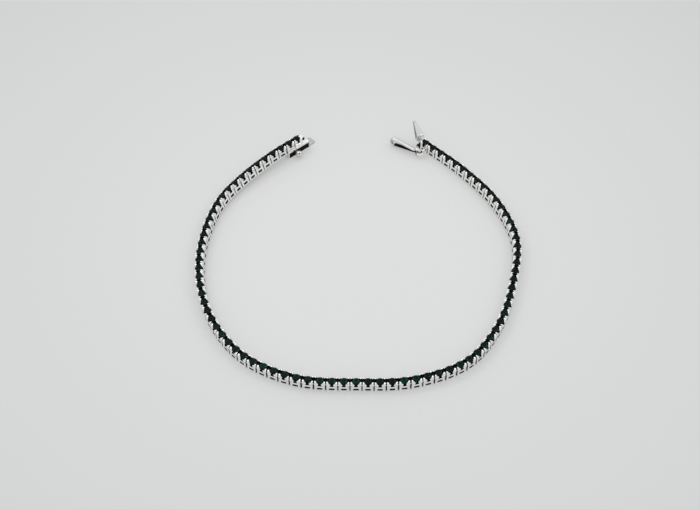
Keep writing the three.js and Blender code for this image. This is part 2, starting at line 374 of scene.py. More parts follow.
def plate(loops, thickness, edge):
    """A plate centred on the XY plane. The first loop is its outline, and the others are holes."""
    curve = bpy.data.curves.new("plate_outline", "CURVE")
    curve.dimensions = "2D"
    curve.fill_mode = "BOTH"
    curve.extrude = thickness / 2 - edge
    curve.bevel_depth = edge
    curve.bevel_resolution = 1
    curve.offset = -edge
    for points in loops:
        spline = curve.splines.new("POLY")
        spline.points.add(len(points) - 1)
        spline.use_cyclic_u = True
        for place, (x, y) in zip(spline.points, points):
            place.co = (x, y, 0, 1)
    holder = placed("plate_outline", curve)
    made = evaluated_mesh(holder)
    bpy.data.objects.remove(holder)
    bpy.data.curves.remove(curve)
    shell = bmesh.new()
    shell.from_mesh(made)
    bpy.data.meshes.remove(made)
    bmesh.ops.remove_doubles(shell, verts=shell.verts, dist=0.0005)
    bmesh.ops.recalc_face_normals(shell, faces=shell.faces)
    return shell


STAND_UP = Matrix.Rotation(math.pi / 2, 4, "X")


def side_plate(loops, y_low, y_high, edge):
    """A plate drawn in the side view, X along the chain and Z up, between two places across the chain."""
    shell = plate(loops, y_high - y_low, edge)
    bmesh.ops.transform(shell, matrix=Matrix.Translation((0, (y_low + y_high) / 2, 0)) @ STAND_UP,
                        verts=shell.verts)
    return shell


# %% [markdown]
# Other parts are round rods whose section changes along the way, such as claws, posts and the folded
# tongue. A second helper lofts rings of points into a closed shell, and a third puts shells together,
# marking each face with how much shade is painted on it.

# %% Lofted rods and joined shells
def loft(rings):
    """A closed shell through rings with the same number of points, capped at both ends."""
    shell = bmesh.new()
    rows = [[shell.verts.new(point) for point in ring] for ring in rings]
    for low, high in zip(rows, rows[1:]):
        for i in range(len(low)):
            j = (i + 1) % len(low)
            shell.faces.new((low[i], low[j], high[j], high[i]))
    shell.faces.new(list(reversed(rows[0])))
    shell.faces.new(rows[-1])
    bmesh.ops.recalc_face_normals(shell, faces=shell.faces)
    return shell


def ring(centre, across_x, across_y, sides, turn=0.0):
    """A level ring of points round a centre."""
    angles = [turn + 2 * math.pi * i / sides for i in range(sides)]
    return [(centre[0] + across_x * math.cos(a), centre[1] + across_y * math.sin(a), centre[2])
            for a in angles]


def turned(profile, sides):
    """A closed shell turned about Z from a closed profile of radius and height."""
    shell = bmesh.new()
    rows = []
    for i in range(sides):
        angle = 2 * math.pi * i / sides
        rows.append([shell.verts.new((r * math.cos(angle), r * math.sin(angle), z)) for r, z in profile])
    for i, row in enumerate(rows):
        following = rows[(i + 1) % sides]
        for k in range(len(profile)):
            n = (k + 1) % len(profile)
            shell.faces.new((row[k], following[k], following[n], row[n]))
    bmesh.ops.remove_doubles(shell, verts=shell.verts, dist=0.0005)
    bmesh.ops.dissolve_degenerate(shell, edges=shell.edges, dist=0.0005)
    bmesh.ops.recalc_face_normals(shell, faces=shell.faces)
    return shell


def evenly(share):
    """A rule that paints the same shade on every face."""
    return lambda centre, normal: share


def looks_inward(centre, normal, axis):
    """How straight a face looks back at the middle of its shell along an axis, from -1 to 1."""
    return -normal[axis] if centre[axis] >= 0 else normal[axis]


def joined(name, shells, smooth_below=40):
    """One mesh from rows of a shell, its rule and, where it isn't in place yet, its place.

    The rule gives the shade painted on a face from its centre and its normal.
    """
    mesh = bpy.data.meshes.new(name)
    whole = bmesh.new()
    layer = whole.faces.layers.float.new("painted_shade")
    for shell, rule, *moved in shells:
        place = moved[0] if moved else Matrix()
        marks = [rule(face.calc_center_median(), face.normal) for face in shell.faces]
        twin = {v: whole.verts.new(place @ v.co) for v in shell.verts}
        for face, mark in zip(shell.faces, marks):
            corner = whole.faces.new([twin[v] for v in face.verts])
            corner[layer] = mark
            corner.smooth = True
        shell.free()
    whole.normal_update()
    for edge in whole.edges:
        edge.smooth = edge.calc_face_angle(0.0) < math.radians(smooth_below)
    whole.to_mesh(mesh)
    whole.free()
    return mesh


# %% [markdown]
# A setting starts as two side walls. Seen from the side, each wall has a lower rail, a slit, an upper
# rail, and above it a window between two posts, wide at its floor and closing towards the stone. A
# core joins the walls inside, painted black all over as the shade seen through the windows. The walls
# carry painted shade as well: black on their inner and end faces, round the window and the slit, and
# along the foot as a thin contact shadow. The slit goes right through all three.

# %% Walls and core of a setting
SLIT_LOW, SLIT_HIGH, SLIT_HALF = 0.25, 0.67, 0.49
WINDOW_HALF = 0.35
WINDOW_CORNER = 0.14
WINDOW_SHOULDER = 1.36
NECK_HALF = 0.22
POST_TOP = 1.66
INNER = HALF_WIDTH - WALL
RAIL_FACE = HALF_WIDTH - 0.1


def wall_outline():
    left = arc((-WINDOW_HALF + WINDOW_CORNER, RAIL_TOP + WINDOW_CORNER), WINDOW_CORNER, 180, 270, 3)
    right = arc((WINDOW_HALF - WINDOW_CORNER, RAIL_TOP + WINDOW_CORNER), WINDOW_CORNER, 270, 360, 3)
    return [(-HALF_LENGTH, 0), (HALF_LENGTH, 0), (HALF_LENGTH, POST_TOP), (NECK_HALF, POST_TOP),
            (WINDOW_HALF, WINDOW_SHOULDER), *reversed(right), *reversed(left),
            (-WINDOW_HALF, WINDOW_SHOULDER), (-NECK_HALF, POST_TOP), (-HALF_LENGTH, POST_TOP)]


# Painted shade on a wall: black on faces that look inward or to the next link, in the window and slit, and
# along the foot as a contact shadow
def wall_shade(centre, normal):
    facing_in = looks_inward(centre, normal, 1) > 0.5
    in_window = (abs(centre.x) < WINDOW_HALF + 0.05 and RAIL_TOP - 0.05 < centre.z < POST_TOP
                 and abs(normal.y) < 0.9)
    if abs(normal.x) > 0.6 or facing_in or in_window:
        return 1.0
    in_slit = SLIT_LOW - 0.03 < centre.z < SLIT_HIGH + 0.03 and abs(centre.x) < SLIT_HALF + 0.03
    return 1.0 if (in_slit or centre.z < 0.03) and abs(normal.y) < 0.95 else 0.0


# Painted shade all over, for parts that stand where there is only shade
fully_shaded = evenly(1.0)


def setting_walls():
    slit = rounded_box((-SLIT_HALF, SLIT_LOW), (SLIT_HALF, SLIT_HIGH), 0.08)
    core_slit = rounded_box((-SLIT_HALF - 0.03, SLIT_LOW - 0.03), (SLIT_HALF + 0.03, SLIT_HIGH + 0.03), 0.08)
    core = rounded_box((-HALF_LENGTH + 0.05, 0.04), (HALF_LENGTH - 0.05, RAIL_TOP - 0.08), 0.05)
    return [
        (side_plate([wall_outline(), slit], INNER, RAIL_FACE, 0.025), wall_shade),
        (side_plate([wall_outline(), slit], -RAIL_FACE, -INNER, 0.025), wall_shade),
        (side_plate([core, core_slit], -INNER - 0.06, INNER + 0.06, 0.02), fully_shaded),
    ]


# %% [markdown]
# A claw is a round column at each corner of the setting, from its foot to the stone. Near the top it
# swells into a bead that leans over the stone's edge, and the beads of neighbouring links nearly meet, so
# that from the side a pair looks like one small roof on two posts. There are hundreds of claws, so each
# has only a few dozen faces.

# %% Claws
CLAW_RINGS = [
    {"height": 0, "x": 0.705, "y": 0.66, "half_x": 0.245, "half_y": 0.19},
    {"height": 1.5, "x": 0.705, "y": 0.66, "half_x": 0.235, "half_y": 0.185},
    {"height": 1.58, "x": 0.655, "y": 0.665, "half_x": 0.385, "half_y": 0.21},
    {"height": 1.68, "x": 0.64, "y": 0.655, "half_x": 0.41, "half_y": 0.22},
    {"height": 1.84, "x": 0.695, "y": 0.615, "half_x": 0.335, "half_y": 0.25},
    {"height": 2.0, "x": 0.755, "y": 0.575, "half_x": 0.245, "half_y": 0.27},
    {"height": 2.11, "x": 0.8, "y": 0.55, "half_x": 0.18, "half_y": 0.25},
    {"height": 2.18, "x": 0.835, "y": 0.54, "half_x": 0.12, "half_y": 0.19},
    {"height": 2.21, "x": 0.85, "y": 0.53, "half_x": 0.06, "half_y": 0.1},
]
CLAW_SIDES = 8
BEAD_FOOT = 1.52


def claw(side_x, side_y):
    return loft([ring((side_x * row["x"], side_y * row["y"], row["height"]), row["half_x"], row["half_y"],
                      CLAW_SIDES, math.pi / CLAW_SIDES) for row in CLAW_RINGS])


# Painted shade on a claw: black on faces turned to the stone, for its shade and dark reflection, under the
# bead, and on sides facing the gap
def claw_shade(centre, normal):
    to_gap = -looks_inward(centre, normal, 0)
    if looks_inward(centre, normal, 1) > 0.3 and normal.z < 0.72:
        return 1.0
    if normal.z < -0.3:
        return 0.85
    if centre.z < BEAD_FOOT:
        return 0.95 if abs(to_gap) > 0.85 else 0.0
    return 0.9 if to_gap > 0.85 and centre.z < 1.8 else 0.0


def setting_claws():
    return [(claw(x, y), claw_shade) for x in (-1, 1) for y in (-1, 1)]


# %% [markdown]
# A hinge lug hides between each link and the next. It is part of the link here, so that every copy brings
# its own. It is nearly as tall as the claws, as a real bearing is, so that no light shows through between
# two links, and it is painted black all over as the shade in that gap.

# %% Hinge lug, and the whole setting
LUG_HALF_WIDTH = 0.6
LUG_LOW, LUG_HIGH = 0.03, 1.72
LINK_GAP = PITCH - LINK_LENGTH


def hinge_lug():
    outline = rounded_box((HALF_LENGTH - 0.12, LUG_LOW), (HALF_LENGTH + LINK_GAP + 0.12, LUG_HIGH), 0.1)
    return (side_plate([outline], -LUG_HALF_WIDTH, LUG_HALF_WIDTH, 0.03), fully_shaded)


def source(name, mesh):
    """An object that only lends its shape to the copies, scaled from millimetres."""
    mesh.transform(Matrix.Scale(MILLIMETRE, 4))
    return placed(name, mesh)


linked_setting = source("linked_setting", joined("linked_setting", [
    *setting_walls(), *setting_claws(), hinge_lug()]))
end_setting = source("end_setting", joined("end_setting", [*setting_walls(), *setting_claws()]))
print("faces in a setting:", len(linked_setting.data.polygons))

# %% [markdown]
# A round brilliant has an octagonal table, a crown of star, kite and upper girdle facets, a thin girdle,
# and a pointed pavilion below. Every facet must be flat and sharp, because the eye reads a stone by the
# way its facets catch light one after another.

# %% Cut stone
TABLE_RADIUS = 0.4
CROWN_HEIGHT = 0.2
STAR_RADIUS = 0.555
STAR_DROP = 0.085
GIRDLE_EDGE = 0.03
PAVILION_DEPTH = 0.6
WAIST_RADIUS = 0.3
WAIST_DROP = 0.36
FACETS_ROUND = 8


def polar(radius, step, height):
    angle = math.pi * (step + 0.5) / FACETS_ROUND
    return (radius * math.cos(angle), radius * math.sin(angle), height)


def brilliant():
    gem = bmesh.new()
    top = GIRDLE_HEIGHT + CROWN_HEIGHT
    bottom = GIRDLE_HEIGHT - GIRDLE_EDGE
    table = [gem.verts.new(polar(TABLE_RADIUS, 2 * i, top)) for i in range(FACETS_ROUND)]
    star = [gem.verts.new(polar(STAR_RADIUS, 2 * i + 1, top - STAR_DROP)) for i in range(FACETS_ROUND)]
    girdle = [gem.verts.new(polar(STONE_RADIUS, i, GIRDLE_HEIGHT)) for i in range(2 * FACETS_ROUND)]
    lower = [gem.verts.new(polar(STONE_RADIUS, i, bottom)) for i in range(2 * FACETS_ROUND)]
    waist = [gem.verts.new(polar(WAIST_RADIUS, 2 * i + 1, bottom - WAIST_DROP)) for i in range(FACETS_ROUND)]
    point = gem.verts.new((0, 0, GIRDLE_HEIGHT - PAVILION_DEPTH))
    gem.faces.new(table)
    for i in range(FACETS_ROUND):
        n = (i + 1) % FACETS_ROUND
        even, odd, after = girdle[2 * i], girdle[2 * i + 1], girdle[2 * n]
        gem.faces.new((table[i], star[i], table[n]))
        gem.faces.new((star[i - 1], even, star[i], table[i]))
        gem.faces.new((star[i], even, odd))
        gem.faces.new((star[i], odd, after))
        gem.faces.new((lower[2 * i], lower[2 * i + 1], waist[i]))
        gem.faces.new((lower[2 * i + 1], lower[2 * n], waist[i]))
        gem.faces.new((waist[i - 1], lower[2 * i], waist[i], point))
    for i in range(2 * FACETS_ROUND):
        n = (i + 1) % (2 * FACETS_ROUND)
        gem.faces.new((girdle[i], lower[i], lower[n], girdle[n]))
    bmesh.ops.recalc_face_normals(gem, faces=gem.faces)
    # Each facet gets a random share of painted light sent back from inside the stone
    layer = gem.faces.layers.float.new("facet")
    chance = random.Random(7)
    for face in gem.faces:
        face[layer] = chance.random() ** 1.5
    mesh = bpy.data.meshes.new("cut_stone")
    gem.to_mesh(mesh)
    gem.free()
    return mesh


cut_stone = source("cut_stone", brilliant())
print("facets in a stone:", len(cut_stone.data.polygons))

# %% [markdown]
# Copying a setting 81 times by hand would be slow to change. Geometry Nodes do it: a mesh of 81 points
# carries the directions of each link, and a tree sets one copy on each point, turned to them. The same
# tree sets the stones. It ends by making the copies real, because an exported file can't hold instances.

# %% Points of the chain
GREENER_LINKS = {37: 0.75, 38: 0.5, 39: 0.6, 40: 1.0, 32: 0.9, 44: 0.95, 45: 0.8, 50: 0.6, 27: 0.7}


def chain_points():
    mesh = bpy.data.meshes.new("chain_points")
    mesh.from_pydata([place.translation for place in links], [], [])
    chance = random.Random(3)
    tints = [GREENER_LINKS.get(i, 0.45 * chance.random() ** 1.4) for i in range(LINK_COUNT)]
    for name, axis in (("along", 0), ("up", 2)):
        rows = mesh.attributes.new(name, "FLOAT_VECTOR", "POINT")
        for i, place in enumerate(links):
            rows.data[i].vector = place.col[axis].to_3d().normalized()
    rows = mesh.attributes.new("tint", "FLOAT", "POINT")
    for i, tint in enumerate(tints):
        rows.data[i].value = tint
    return mesh


# %% Helpers for trees
def add_node(tree, kind, settings=None, values=None):
    """Adds a node, sets it, and gives each input a number or another node's output."""
    made = tree.nodes.new(kind)
    for name, value in (settings or {}).items():
        setattr(made, name, value)
    for name, value in (values or {}).items():
        if isinstance(value, bpy.types.NodeSocket):
            tree.links.new(value, made.inputs[name])
        else:
            made.inputs[name].default_value = value
    return made


def new_tree(name, **inputs):
    """A tree that takes a geometry and the named inputs, and gives a geometry back."""
    tree = bpy.data.node_groups.new(name, "GeometryNodeTree")
    for given, kind in {"Geometry": "Geometry", **inputs}.items():
        tree.interface.new_socket(given, in_out="INPUT", socket_type="NodeSocket" + kind)
    tree.interface.new_socket("Geometry", in_out="OUTPUT", socket_type="NodeSocketGeometry")
    return tree, tree.nodes.new("NodeGroupInput").outputs


def end_tree(tree, geometry, finish):
    """Makes all copies real, gives them their finish, and ends the tree."""
    real = add_node(tree, "GeometryNodeRealizeInstances", None, {"Geometry": geometry})
    painted = add_node(tree, "GeometryNodeSetMaterial", None,
                       {"Geometry": real.outputs[0], "Material": finish})
    add_node(tree, "NodeGroupOutput", None, {"Geometry": painted.outputs[0]})
    return tree


def run_tree(name, start, tree, **given):
    """The plain mesh that a tree makes from a starting mesh."""
    holder = placed(name, start)
    modifier = holder.modifiers.new("tree", "NODES")
    modifier.node_group = tree
    for item in tree.interface.items_tree:
        if item.in_out == "INPUT" and item.name in given:
            modifier[item.identifier] = given[item.name]
    made = evaluated_mesh(holder)
    made.name = name
    bpy.data.objects.remove(holder)
    bpy.data.meshes.remove(start)
    return made


# %% Tree that copies a shape on to the links
def make_chain_tree():
    tree, given = new_tree("copies_on_links", Shape="Object", First="Int", Last="Int", Looseness="Float",
                           Seed="Int", Finish="Material")
    index = add_node(tree, "GeometryNodeInputIndex").outputs[0]
    too_low = add_node(tree, "FunctionNodeCompare", {"data_type": "INT", "operation": "LESS_THAN"},
                       {2: index, 3: given["First"]}).outputs[0]
    too_high = add_node(tree, "FunctionNodeCompare", {"data_type": "INT", "operation": "GREATER_THAN"},
                        {2: index, 3: given["Last"]}).outputs[0]
    outside = add_node(tree, "FunctionNodeBooleanMath", {"operation": "OR"},
                       {0: too_low, 1: too_high}).outputs[0]
    points = add_node(tree, "GeometryNodeDeleteGeometry", {"domain": "POINT"},
                      {"Geometry": given["Geometry"], "Selection": outside}).outputs[0]
    up, along = [add_node(tree, "GeometryNodeInputNamedAttribute", {"data_type": "FLOAT_VECTOR"},
                          {"Name": name}).outputs[0] for name in ("up", "along")]
    turn = add_node(tree, "FunctionNodeAxesToRotation", {"primary_axis": "Z", "secondary_axis": "X"},
                    {0: up, 1: along}).outputs[0]
    least = add_node(tree, "ShaderNodeMath", {"operation": "MULTIPLY"}, {0: given["Looseness"], 1: -1.0})
    wobble = add_node(tree, "FunctionNodeRandomValue", {"data_type": "FLOAT_VECTOR"},
                      {0: least.outputs[0], 1: given["Looseness"], "Seed": given["Seed"]}).outputs[0]
    small_turn = add_node(tree, "FunctionNodeEulerToRotation", None, {0: wobble}).outputs[0]
    final_turn = add_node(tree, "FunctionNodeRotateRotation", {"rotation_space": "LOCAL"},
                          {0: turn, 1: small_turn}).outputs[0]
    shape = add_node(tree, "GeometryNodeObjectInfo", {"transform_space": "ORIGINAL"},
                     {"Object": given["Shape"]})
    copies = add_node(tree, "GeometryNodeInstanceOnPoints", None,
                      {"Points": points, "Instance": shape.outputs["Geometry"], "Rotation": final_turn})
    return end_tree(tree, copies.outputs[0], given["Finish"])


chain_tree = make_chain_tree()
print("tree:", chain_tree.name, "with", len(chain_tree.nodes), "nodes")

# %% [markdown]
# Each run of the tree makes one piece. The result is taken as a plain mesh, the modifier is dropped, the
# piece is hung on the body it rides on, and the solid it stands for is hidden.

# %% Settings and stones
LOOSENESS = math.radians(0.5)


def new_piece(name, mesh, slot, *nodes, body="bracelet"):
    thing = placed(name, mesh)
    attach(thing, body)
    if nodes:
        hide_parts(*nodes)
    return thing


def on_links(name, shape, first, last, finish, slot, *nodes, looseness=0.0):
    """A piece with one copy of the shape on each link from first to last."""
    mesh = run_tree(name, chain_points(), chain_tree, Shape=shape, First=first, Last=last,
                    Looseness=looseness, Seed=5, Finish=finish)
    return new_piece(name, mesh, slot, *nodes)


on_links("settings_left", linked_setting, LEFT_LINKS[0], LEFT_LINKS[-1], silver, "silver", "chain_left",
         looseness=LOOSENESS)
on_links("settings_right", linked_setting, RIGHT_LINKS[0], RIGHT_LINKS[-1], silver, "silver", "chain_right",
         looseness=LOOSENESS)
on_links("settings_on_box", end_setting, 0, LINKS_ON_BOX - 1, silver, "silver")
on_links("setting_on_tongue", linked_setting, LINK_COUNT - 1, LINK_COUNT - 1, silver, "silver")
on_links("stones", cut_stone, 0, LINK_COUNT - 1, stone_finish, "green_stone", looseness=LOOSENESS)
for thing in (linked_setting, end_setting, cut_stone):
    bpy.data.objects.remove(thing)

# %% [markdown]
# The clasp box is a small hollow case under the first two settings. Each long side is a thin frame round
# a sunk panel painted black as shade, and the inner one carries the ball. Its plain top ends in a notch at
# the mouth, where the thumb tab of the tongue goes, with a guide plate under it painted black as the shade
# in the notch. Inside and floor are painted black as shade, and the top, rear, lip and ball post a lighter
# painted shade. It is built from plates that overlap at their edges, as a soldered case is.

# %% Clasp box
BOX_HALF = 1.15
BOX_WALL = 0.25
BOX_HEIGHT = 1.95
BOX_TOP = 0.65
BOX_TOP_PLATE = 0.5
BOX_PLAIN_TOP = 1.4
BOX_FLOOR = BOX_TOP - BOX_HEIGHT
BOX_MOUTH = -HALF_LENGTH - BOX_PLAIN_TOP
BOX_REAR = (LINKS_ON_BOX - 1) * PITCH + HALF_LENGTH
BOX_INSIDE = BOX_HALF - BOX_WALL
MOUTH_LIP = 1.9
NOTCH_LENGTH = 1.0
NOTCH_HALF = 0.3
GUIDE_HALF = 0.65
PANEL_DEPTH = 0.1
PANEL_RIM = 0.2
BALL_ALONG = PITCH / 2
BALL_RADIUS = 0.65
BALL_REACH = 0.87


# Painted shade on a side frame: black on faces looking into the box and round the panel, dark by the mouth
def frame_shade(centre, normal):
    facing_in = looks_inward(centre, normal, 1) > 0.3
    within = BOX_FLOOR + PANEL_RIM - 0.05 < centre.z < BOX_TOP - BOX_TOP_PLATE + 0.05
    by_mouth = centre.x < BOX_MOUTH + PANEL_RIM + 0.02 and centre.z < BOX_TOP - BOX_TOP_PLATE
    window_edge = within and BOX_MOUTH + 0.1 < centre.x < BOX_REAR - 0.1 and abs(normal.y) < 0.8
    return 1.0 if facing_in or window_edge else (0.8 if by_mouth else 0.0)


def box_side(y_low, y_high):
    outline = rounded_box((BOX_MOUTH, BOX_FLOOR), (BOX_REAR, BOX_TOP), 0.12, 3)
    opening = rounded_box((BOX_MOUTH + PANEL_RIM, BOX_FLOOR + PANEL_RIM),
                          (BOX_REAR - PANEL_RIM, BOX_TOP - BOX_TOP_PLATE), 0.15, 3)
    return side_plate([outline, opening], y_low, y_high, 0.05)


def box_panel(side):
    outline = rounded_box((BOX_MOUTH + 0.1, BOX_FLOOR + 0.1), (BOX_REAR - 0.1, BOX_TOP - 0.3), 0.1)
    low, high = sorted((side * BOX_INSIDE, side * (BOX_HALF - PANEL_DEPTH)))
    return side_plate([outline], low, high, 0.02)


def level_plate(loops, z_low, z_high, edge):
    shell = plate(loops, z_high - z_low, edge)
    bmesh.ops.translate(shell, vec=(0, 0, (z_low + z_high) / 2), verts=shell.verts)
    return shell


def box_top():
    across = BOX_HALF - 0.05
    slot_end = BOX_MOUTH + NOTCH_LENGTH - NOTCH_HALF
    outline = [(BOX_REAR - 0.03, -across), (BOX_REAR - 0.03, across), (BOX_MOUTH + 0.02, across),
               (BOX_MOUTH + 0.02, NOTCH_HALF), *arc((slot_end, 0), NOTCH_HALF, 90, -90, 5),
               (BOX_MOUTH + 0.02, -NOTCH_HALF), (BOX_MOUTH + 0.02, -across)]
    return level_plate([outline], BOX_TOP - BOX_TOP_PLATE, BOX_TOP - 0.004, 0.05)


# Painted shade on the top: black underneath and in the notch, light grey over the rest
def top_shade(centre, normal):
    in_notch = abs(centre.y) < NOTCH_HALF + 0.02 and centre.x < BOX_MOUTH + NOTCH_LENGTH + 0.02
    return 1.0 if normal.z < -0.5 or (in_notch and abs(normal.z) < 0.95) else 0.2


def box_floor():
    across = BOX_INSIDE + 0.05
    outline = rounded_box((BOX_MOUTH + 0.05, -across), (BOX_REAR - 0.05, across), 0.1)
    return level_plate([outline], BOX_FLOOR + 0.004, BOX_FLOOR + BOX_WALL, 0.03)


def box_lip():
    outline = rounded_box((BOX_MOUTH - MOUTH_LIP, -BOX_INSIDE), (BOX_MOUTH + 0.2, BOX_INSIDE), 0.2, 4)
    return level_plate([outline], BOX_FLOOR + 0.004, BOX_FLOOR + BOX_WALL + 0.01, 0.05)


def box_guide():
    outline = rounded_box((BOX_MOUTH + 0.06, -GUIDE_HALF), (BOX_MOUTH + NOTCH_LENGTH + 0.3, GUIDE_HALF), 0.1)
    return level_plate([outline], BOX_TOP - BOX_TOP_PLATE - 0.15, BOX_TOP - BOX_TOP_PLATE + 0.02, 0.02)


def box_rear():
    outline = rounded_box((BOX_REAR - 0.55, BOX_FLOOR + 0.05), (BOX_REAR - 0.01, BOX_TOP - 0.05), 0.08)
    return side_plate([outline], -BOX_INSIDE - 0.05, BOX_INSIDE + 0.05, 0.04)


# Painted shade laid evenly over a part: light on the rear and ball post, stronger on the lip
lightly_shaded = evenly(0.15)
half_shaded = evenly(0.42)

# %% [markdown]
# The ball of the safety catch is turned from a single profile with a shallow dimple, where the lathe's
# centre held it, and it was soldered to its post a little turned, so the dimple looks inward and up.

# %% Ball and post
POST_RADIUS = 0.25
BALL_ROUNDS = 9
LATHE_SIDES = 24
LIE_ACROSS = Matrix.Rotation(-math.pi / 2, 4, "X")
DIMPLE_RISE = Matrix.Rotation(math.radians(47), 4, "X")
DIMPLE_TURN = Matrix.Rotation(math.radians(-36), 4, "Z")


def dimpled_ball():
    dimple = [(0, BALL_RADIUS * 0.84), (0.11, BALL_RADIUS * 0.86), (0.17, BALL_RADIUS * 0.95)]
    start, end = 0.32, math.pi
    angles = [start + (end - start) * i / BALL_ROUNDS for i in range(BALL_ROUNDS + 1)]
    round_part = [(BALL_RADIUS * math.sin(a), BALL_RADIUS * math.cos(a)) for a in angles]
    return turned(dimple + round_part, LATHE_SIDES)


def ball_post():
    low, high = -BALL_REACH - 0.1, -BALL_RADIUS * 0.7
    return turned([(0, low), (POST_RADIUS, low), (POST_RADIUS, high), (0, high)], LATHE_SIDES)


# Painted shade on the ball: black in the dimple, grey on faces turned away from it, faint on the rest
def ball_shade(centre, normal):
    distance = Vector((centre.x, centre.y, 0)).length
    if distance < 0.18 and centre.z > 0:
        return 1.0
    return 0.36 if normal.z < 0.5 else 0.08


ball_centre = Matrix.Translation((BALL_ALONG, BOX_HALF + BALL_REACH, (BOX_FLOOR + BOX_TOP) / 2))
clasp_case_mesh = joined("clasp_case", [
    (box_side(BOX_INSIDE, BOX_HALF), frame_shade),
    (box_side(-BOX_HALF, -BOX_INSIDE), frame_shade),
    (box_panel(1), fully_shaded),
    (box_panel(-1), fully_shaded),
    (box_top(), top_shade),
    (box_floor(), fully_shaded),
    (box_lip(), half_shaded),
    (box_rear(), lightly_shaded),
    (box_guide(), fully_shaded),
    (dimpled_ball(), ball_shade, ball_centre @ DIMPLE_TURN @ LIE_ACROSS @ DIMPLE_RISE),
    (ball_post(), lightly_shaded, ball_centre @ LIE_ACROSS),
])
clasp_case_mesh.transform(links[0])
clasp_case_mesh.materials.append(silver)
new_piece("clasp_case", clasp_case_mesh, "silver", "clasp_box")
print("clasp case:", len(clasp_case_mesh.polygons), "faces")

# %% [markdown]
# Beyond the last setting a short block carries the tongue. The block is open under its top plate, and the
# opening and the sides below the plate are painted black as shade. The tongue is a strip of springy silver,
# tapered and folded back on itself, so a strip is swept along the fold's side view, its width following the
# distance from the root. It carries a light grey painted shade, darker between its leaves and on its sides.

# %% End block and folded tongue
END_BLOCK_LENGTH = 0.8
END_BLOCK_END = HALF_LENGTH + LINK_GAP + END_BLOCK_LENGTH
END_BLOCK_HEIGHT = 2.1
END_BLOCK_PLATE = 0.45
END_BLOCK_RECESS = 0.7
TONGUE_LENGTH = 3.8
FOLD_ALONG = TONGUE_LENGTH * 0.93
TONGUE_ROOT = 1.9
TONGUE_TIP = 0.45
LEAF = 0.24
UPPER_LEAF = 3.2
LEAF_OPENING = math.radians(12)
TONGUE_RISE = math.radians(44)
TONGUE_TURN = math.radians(-17)
THUMB_TAB_HALF = 0.35
THUMB_TAB_HEIGHT = 0.4


def end_block():
    low, high = END_BLOCK_PLATE, END_BLOCK_HEIGHT - END_BLOCK_PLATE
    inner = END_BLOCK_END - END_BLOCK_RECESS
    outline = [(HALF_LENGTH - 0.12, 0), (END_BLOCK_END, 0), (END_BLOCK_END, low), (inner + 0.15, low),
               *reversed(arc((inner + 0.15, low + 0.15), 0.15, 180, 260, 3)),
               *reversed(arc((inner + 0.15, high - 0.15), 0.15, 100, 180, 3)),
               (inner + 0.15, high), (END_BLOCK_END, high), (END_BLOCK_END, END_BLOCK_HEIGHT),
               (HALF_LENGTH - 0.12, END_BLOCK_HEIGHT)]
    return side_plate([outline], -HALF_WIDTH, HALF_WIDTH, 0.05)


# Painted shade on the end block: black in the opening and on the sides under the top plate, light grey
# elsewhere
def block_shade(centre, normal):
    in_recess = END_BLOCK_PLATE - 0.02 < centre.z < END_BLOCK_HEIGHT - END_BLOCK_PLATE + 0.02
    below_plate = centre.z < END_BLOCK_HEIGHT - END_BLOCK_PLATE and abs(normal.y) > 0.5
    return 1.0 if (in_recess and abs(normal.y) < 0.8) or (below_plate and centre.z > 0.3) else 0.28


def strip_section(place, lengthwise, half_width):
    """A flat section of the strip across its run, with rounded edges."""
    side = Vector((0, 1, 0))
    thick = lengthwise.cross(side).normalized() * (LEAF / 2)
    inset = min(0.06, half_width * 0.3)
    outline = [(half_width, -0.45), (half_width, 0.45), (half_width - inset, 1), (inset - half_width, 1),
               (-half_width, 0.45), (-half_width, -0.45), (inset - half_width, -1), (half_width - inset, -1)]
    return [tuple(place + side * across + thick * out) for across, out in outline]


def tongue_width(distance):
    share = min(max(distance / TONGUE_LENGTH, 0), 1)
    return (TONGUE_ROOT + (TONGUE_TIP - TONGUE_ROOT) * share) / 2


def folded_tongue():
    """The lower leaf, the fold and the upper leaf, as one strip seen from the side."""
    stations = [(Vector((FOLD_ALONG * i / 6, 0, 0)), Vector((1, 0, 0))) for i in range(7)]
    last = stations[-1][0]
    fold_radius = LEAF / 2 + 0.01
    fold_centre = last + Vector((0, 0, fold_radius))
    turn_end = math.pi - LEAF_OPENING
    for i in range(1, 7):
        angle = turn_end * i / 6
        place = fold_centre + Vector((math.sin(angle), 0, -math.cos(angle))) * fold_radius
        stations.append((place, Vector((math.cos(angle), 0, math.sin(angle)))))
    start, back = stations[-1]
    for i in range(1, 7):
        stations.append((start + back * (UPPER_LEAF * i / 6), back))
    return loft([strip_section(place, run, tongue_width(place.x)) for place, run in stations])


def thumb_tab():
    back = Vector((-math.cos(LEAF_OPENING), 0, math.sin(LEAF_OPENING)))
    outline = rounded_box((-THUMB_TAB_HALF, -0.1), (THUMB_TAB_HALF, THUMB_TAB_HEIGHT), 0.12, 3)
    shell = plate([outline], LEAF * 0.9, 0.04)
    end = Vector((FOLD_ALONG, 0, LEAF + 0.02)) + back * (UPPER_LEAF - LEAF / 2)
    up = Vector((math.sin(LEAF_OPENING), 0, math.cos(LEAF_OPENING)))
    basis = Matrix((Vector((0, 1, 0)), up, Vector((0, 1, 0)).cross(up))).transposed().to_4x4()
    bmesh.ops.transform(shell, matrix=Matrix.Translation(end) @ basis, verts=shell.verts)
    bmesh.ops.recalc_face_normals(shell, faces=shell.faces)
    return shell


# Painted shade on the tongue: darker between the leaves and on the sides, light grey elsewhere
def tongue_shade(centre, normal):
    between = 0.1 < centre.z and normal.z < -0.5 and centre.x < TONGUE_LENGTH * 0.85
    return 0.6 if between else (0.45 if abs(normal.y) > 0.6 else 0.3)


